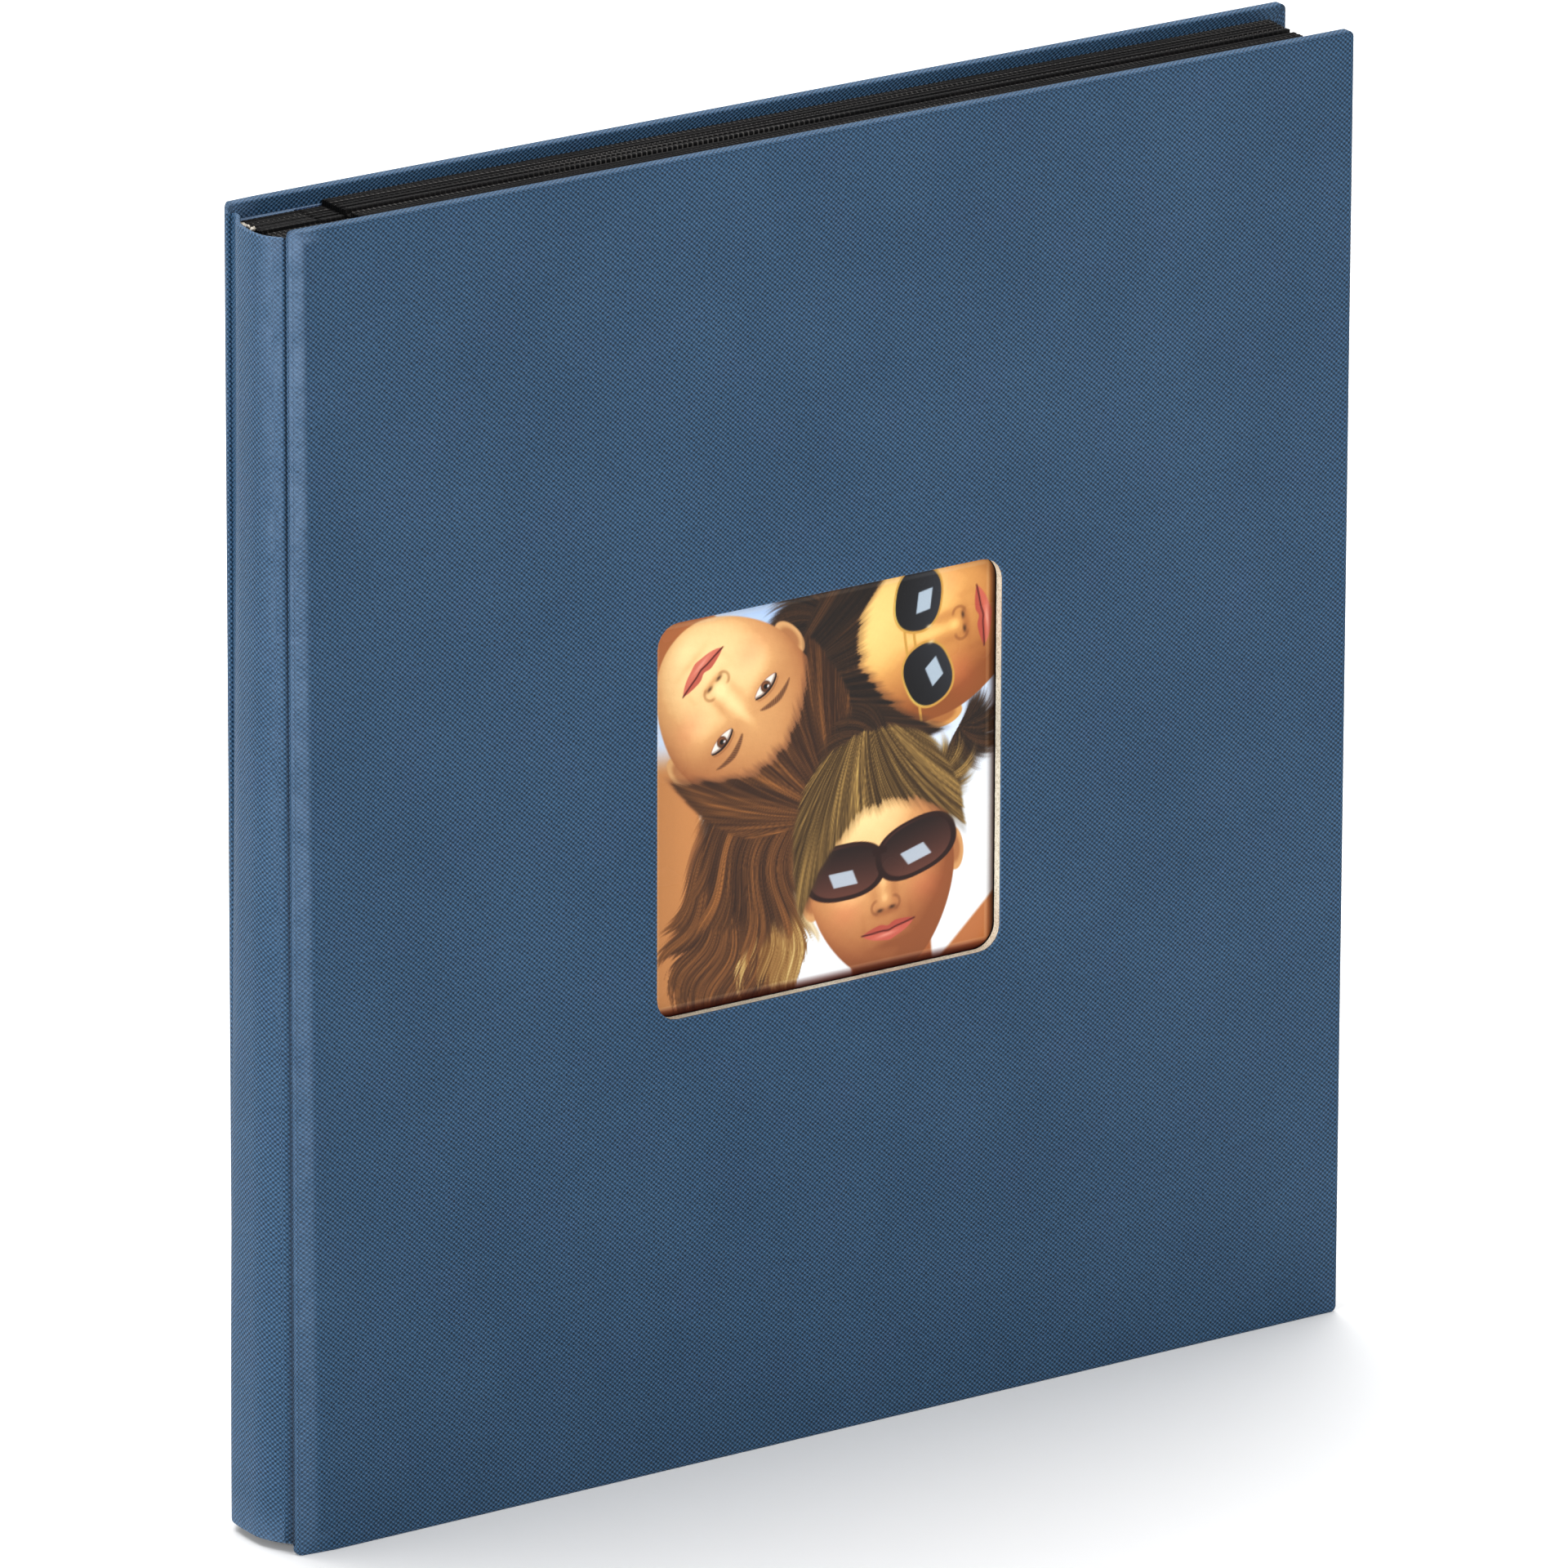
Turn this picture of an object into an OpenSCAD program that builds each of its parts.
// Slip-in photo album, book-bound: two hard covers, a round spine and forty pocket leaves.
// The album stands closed on its tail edges. X runs from the spine to the fore-edge,
// Y from the front cover to the back cover, Z from tail to head. Millimetres.

/* [Covers] */
// Width of each cover, from its spine-side edge to its fore-edge
cover_w = 305; // [220:1:380]
// Height of each cover
cover_h = 330; // [300:1:420]
// Thickness of the greyboard in each cover
board_t = 2.5; // [1.5:0.1:4]
// Thickness of the linen-textured cover paper
paper_t = 0.3; // [0.2:0.05:0.6]
// How far the cover paper is folded over onto the inside of a board
turn_in = 16; // [10:1:25]
// Width of the bevel on the board's outer edge beside the joint
bevel_w = 4.5; // [1:0.5:8]
// How far that bevel drops at the joint
bevel_drop = 1.5; // [0.5:0.1:2.2]
// How far the black lining stays back from the cover's edges
lining_margin = 9; // [5:1:12]
// How far the black lining stands above the turned-in paper
lining_t = 0.2; // [0.1:0.05:0.5]
// Width of the cloth hinge strip on the inside of a cover, along the spine
strip_w = 26; // [20:1:40]
// How far the hinge strip stays back from the cover's head and tail
strip_margin = 4; // [2:1:8]

/* [Window] */
// Side of the square window in the front cover
window_size = 100; // [60:1:130]
// Radius of the window's corners
window_r = 6; // [2:0.5:12]
// How far the print reaches past the window on each side
print_lap = 4; // [2:0.5:8]
// Thickness of the print in the window
print_t = 0.25; // [0.15:0.05:0.4]
// Thickness of the card that holds the print
pocket_t = 0.4; // [0.2:0.05:0.8]
// Width of the tape that holds the card on
tape_w = 5; // [3:0.5:10]

/* [Spine] */
// How far the spine bulges past the covers' spine-side edges
spine_bulge = 4; // [2:0.5:8]
// How much lower than the covers the spine ends, at the head and at the tail
spine_inset = 2; // [1:0.5:5]
// Thickness of the curved card inside the spine
liner_t = 0.5; // [0.3:0.1:1.4]
// Gap of the cloth joint between spine and board
joint_gap = 0.3; // [0.3:0.1:0.6]
// How far the spine's edges lie inside the inner faces of the covers
spine_tuck = 0.2; // [0.1:0.1:1]
// How far the cover paper is folded in at the ends of the spine
spine_turn_in = 14; // [8:1:20]

/* [Leaves] */
// Number of pocket leaves
leaf_count = 40; // [10:1:42]
// Thickness of the black sheet in a leaf
sheet_t = 0.25; // [0.15:0.05:0.3]
// Thickness of the pocket film on each side of a leaf
film_t = 0.1; // [0.05:0.01:0.12]
// Air between one leaf and the next
leaf_gap = 0.12; // [0.1:0.01:0.3]
// How far the leaves stop short of the covers at the head and the tail
leaf_square = 3; // [2:0.5:8]
// How far the leaves stop short of the covers at the fore-edge
fore_square = 6; // [3:0.5:10]
// Distance from the cover's spine-side edge to the leaves' crease
crease_x = 19; // [16:0.5:24]
// Width of the narrow tongue between the crease and the pocket panel
tongue_w = 7; // [7:0.5:12]
// How much lower than the panel the tongue and the guards end
tongue_drop = 1.5; // [1:0.1:5]
// Long side of a pocket, for a print of 150 mm
pocket_long = 156; // [100:1:157]
// Short side of a pocket, for a print of 100 mm
pocket_short = 104; // [60:1:104]
// Width of the weld between two pockets
weld = 3; // [2:0.5:4]

/* [Hidden] */
// Clearances
fold_gap = 0.3;      // between a guard's edge and its leaf, where the sheet is scored
slip_gap = 0.05;     // between the print and what it slides on
cover_gap = 0.15;    // between a cover's inside and the fly-leaf
glue_t = 0.8;        // glue on the back of the leaf block
gauze_t = 0.4;       // gauze on that glue
back_x = 2.6;        // where the guards start, behind the cover's spine-side edge
cut_over = 1;        // how far a cutting shape runs past what it cuts

// Thickness of the album, layer by layer
cover_t = board_t + 2 * paper_t;                       // paper, board and turned-in paper
inner_y = cover_t + lining_t;                          // inside face of the lining
print_y = inner_y + slip_gap;
pocket_y = print_y + print_t + slip_gap;               // pocket card over the print
fly_t = sheet_t;
front_fly_y = pocket_y + pocket_t + cover_gap;
leaf_t = sheet_t + 2 * film_t;
leaf_pitch = leaf_t + leaf_gap;
fly_gap = film_t + leaf_gap;                            // a fly-leaf has no film of its own
first_leaf_y = front_fly_y + fly_t + fly_gap;
back_fly_y = first_leaf_y + (leaf_count - 1) * leaf_pitch + leaf_t + fly_gap;
album_t = back_fly_y + fly_t + cover_gap + inner_y;

// Place of the album: the middle of its tail is the origin
album_x = -(cover_w - spine_bulge) / 2;
album_y = -album_t / 2;

// Leaves and guards
step_x = crease_x + tongue_w;
leaf_end_x = cover_w - fore_square;
leaf_low = leaf_square;
leaf_h = cover_h - 2 * leaf_square;
guard_low = leaf_low + tongue_drop;
guard_h = leaf_h - 2 * tongue_drop;
guard_end_x = crease_x - fold_gap / 2;
block_w = back_fly_y + fly_t - front_fly_y;            // from the first guard to the last one

// Pockets: a column of three wide ones beside the tongue, a column of two tall ones at the fore-edge
wide_x = step_x + weld;
tall_x = wide_x + pocket_long + weld;
wide_rows = 3;
tall_rows = 2;

// Window, in the middle of the front cover
window_x = (cover_w - window_size) / 2;
window_z = (cover_h - window_size) / 2;
print_size = window_size + 2 * print_lap;

// Tape round the print, on two sides and below it
tape_x = window_x - print_lap - slip_gap - tape_w;
tape_z = window_z - print_lap - slip_gap - tape_w;
tape_span = print_size + 2 * slip_gap + 2 * tape_w;
tape_h = print_size + tape_w - print_lap;

// Round spine: half an ellipse between the two joints
half_chord = album_t / 2 - inner_y - spine_tuck;
arc_steps = 48;

function leaf_name(k) = str("leaf_", k < 10 ? "0" : "", k);
function leaf_y(k) = first_leaf_y + (k - 1) * leaf_pitch;

// Height of a row of pockets, of a number that shares the leaf's height
function pocket_z(row, rows, size) = leaf_low + (row + 0.5) * leaf_h / rows - size / 2;

// A box from its lowest corner and its size
module block(x, y, z, sx, sy, sz) translate([x, y, z]) cube([sx, sy, sz]);

// Moves a shape made in the front cover's own layers to the album's place
module in_album() translate([album_x, album_y, 0]) children();

// The back cover is the front cover's mirror image
module as_back() translate([0, album_t, 0]) mirror([0, 1, 0]) children();

// Square prism with round corners, right through the cover
module window_cut() {
    r = window_r;
    depth = inner_y + 2 * cut_over;
    translate([window_x, -cut_over, window_z]) {
        block(r, 0, 0, window_size - 2 * r, depth, window_size);
        block(0, 0, r, window_size, depth, window_size - 2 * r);
        for (x = [r, window_size - r], z = [r, window_size - r])
            translate([x, 0, z]) rotate([-90, 0, 0]) cylinder(r = r, h = depth, $fn = 48);
    }
}

// Plan of a cover set in from its outside by a margin, with the bevel beside the joint
module cover_plan(margin, back_y) {
    slope = sqrt(bevel_w * bevel_w + bevel_drop * bevel_drop);
    reach = bevel_w * bevel_drop + margin * slope;
    polygon([
        [margin, (reach - bevel_drop * margin) / bevel_w],
        [(reach - bevel_w * margin) / bevel_drop, margin],
        [cover_w - margin, margin],
        [cover_w - margin, back_y],
        [margin, back_y]]);
}

module board_shape()
    translate([0, 0, paper_t])
        linear_extrude(cover_h - 2 * paper_t) cover_plan(paper_t, paper_t + board_t);

// Paper over the outside and the edges of a board, turned in at the head, the tail and the fore-edge
module cover_paper_shape() {
    difference() {
        linear_extrude(cover_h) cover_plan(0, cover_t);
        board_shape();
        block(-cut_over, paper_t + board_t, turn_in,
              cover_w - turn_in + cut_over, board_t, cover_h - 2 * turn_in);
    }
}

// A sheet that fills the frame of turned-in paper and laps over its edges by a margin
module inside_sheet(start, end, fill_end, margin) {
    block(start, paper_t + board_t, turn_in, fill_end - start, paper_t, cover_h - 2 * turn_in);
    block(start, cover_t, margin, end - start, lining_t, cover_h - 2 * margin);
}

module lining_shape()
    inside_sheet(strip_w, cover_w - lining_margin, cover_w - turn_in, lining_margin);

module hinge_strip_shape() inside_sheet(paper_t, strip_w, strip_w, strip_margin);

module front_board() color("burlywood") in_album() difference() {
    board_shape();
    window_cut();
}

module front_cover_paper() color("steelblue") in_album() difference() {
    cover_paper_shape();
    window_cut();
}

module front_lining() color("black") in_album() difference() {
    lining_shape();
    window_cut();
}

module back_board() color("burlywood") in_album() as_back() board_shape();

module back_cover_paper() color("steelblue") in_album() as_back() cover_paper_shape();

module back_lining() color("black") in_album() as_back() lining_shape();

module front_hinge_strip() color("steelblue") in_album() hinge_strip_shape();

module back_hinge_strip() color("steelblue") in_album() as_back() hinge_strip_shape();

// Picture card behind the window: it slides up and out of its pocket
module window_print() color("khaki") in_album()
    block(window_x - print_lap, print_y, window_z - print_lap, print_size, print_t, print_size);

// Card over the print's back, open at the top
module window_pocket() color("dimgray") in_album()
    block(tape_x, pocket_y, tape_z, tape_span, pocket_t, tape_h);

// Three strips of tape between the card and the lining: they keep the slot for the print open
module pocket_tape() color("white") in_album() {
    spacer = pocket_y - inner_y;
    for (x = [tape_x, tape_x + tape_span - tape_w])
        block(x, inner_y, tape_z + tape_w, tape_w, spacer, tape_h - tape_w);
    block(tape_x, inner_y, tape_z, tape_span, spacer, tape_w);
}

// Plan of the round spine, a given depth below its outside
module spine_plan(depth) polygon([for (i = [0 : arc_steps]) let (a = 180 * i / arc_steps - 90)
    [-joint_gap - (spine_bulge - joint_gap - depth) * cos(a),
     album_t / 2 + (half_chord - depth) * sin(a)]]);

// A layer of the spine's wall, between two depths and two heights
module spine_wall(outer, inner, low, high)
    translate([0, 0, low]) linear_extrude(high - low) difference() {
        spine_plan(outer);
        spine_plan(inner);
        translate([-joint_gap, 0]) square([cut_over, album_t]);
    }

// Blue paper over the spine, folded in over the card at the head and the tail
module spine_cover() color("steelblue") in_album() {
    fold = paper_t + liner_t;
    low = spine_inset;
    high = cover_h - spine_inset;
    spine_wall(0, paper_t, low, high);
    for (z = [low, high - paper_t])
        spine_wall(0, fold + paper_t, z, z + paper_t);
    for (z = [low, high - spine_turn_in])
        spine_wall(fold, fold + paper_t, z, z + spine_turn_in);
}

// Curved card that stiffens the spine
module spine_liner() color("dimgray") in_album()
    spine_wall(paper_t, paper_t + liner_t, spine_inset + paper_t, cover_h - spine_inset - paper_t);

module spine_glue() color("ivory") in_album()
    block(back_x - glue_t, front_fly_y, guard_low, glue_t, block_w, guard_h);

module spine_gauze() color("white") in_album()
    block(back_x - glue_t - gauze_t, front_fly_y, guard_low + leaf_square,
          gauze_t, block_w, guard_h - 2 * leaf_square);

// One guard for each leaf and fly-leaf, all glued at the back
module guard_strips() color("black") in_album() {
    width = guard_end_x - back_x;
    block(back_x, front_fly_y, guard_low, width, fly_t, guard_h);
    for (k = [1 : leaf_count])
        block(back_x, leaf_y(k), guard_low, width, leaf_t, guard_h);
    block(back_x, back_fly_y, guard_low, width, fly_t, guard_h);
}

// Plain black sheet between a cover and the pocket leaves
module flyleaf(y) color("black") in_album() {
    start = crease_x + fold_gap / 2;
    block(start, y, guard_low, step_x - start, fly_t, guard_h);
    block(step_x, y, leaf_low, leaf_end_x - step_x, fly_t, leaf_h);
}

module front_flyleaf() flyleaf(front_fly_y);

module back_flyleaf() flyleaf(back_fly_y);

// The five pockets of a page: film welded to the sheet all round
module pockets(y) {
    for (row = [0 : wide_rows - 1])
        block(wide_x, y, pocket_z(row, wide_rows, pocket_short), pocket_long, film_t, pocket_short);
    for (row = [0 : tall_rows - 1])
        block(tall_x, y, pocket_z(row, tall_rows, pocket_long), pocket_short, film_t, pocket_long);
}

// One leaf: tongue, panel and the pockets on both sides
module leaf(k) color("black") in_album() {
    start = crease_x + fold_gap / 2;
    sheet_y = leaf_y(k) + film_t;
    block(start, sheet_y, guard_low, step_x - start, sheet_t, guard_h);
    block(step_x, sheet_y, leaf_low, leaf_end_x - step_x, sheet_t, leaf_h);
    pockets(leaf_y(k));
    pockets(sheet_y + sheet_t);
}

front_board();
front_cover_paper();
front_lining();
front_hinge_strip();
window_print();
window_pocket();
pocket_tape();
back_board();
back_cover_paper();
back_lining();
back_hinge_strip();
spine_cover();
spine_liner();
spine_gauze();
spine_glue();
guard_strips();
front_flyleaf();
back_flyleaf();
for (k = [1 : leaf_count])
    leaf(k);
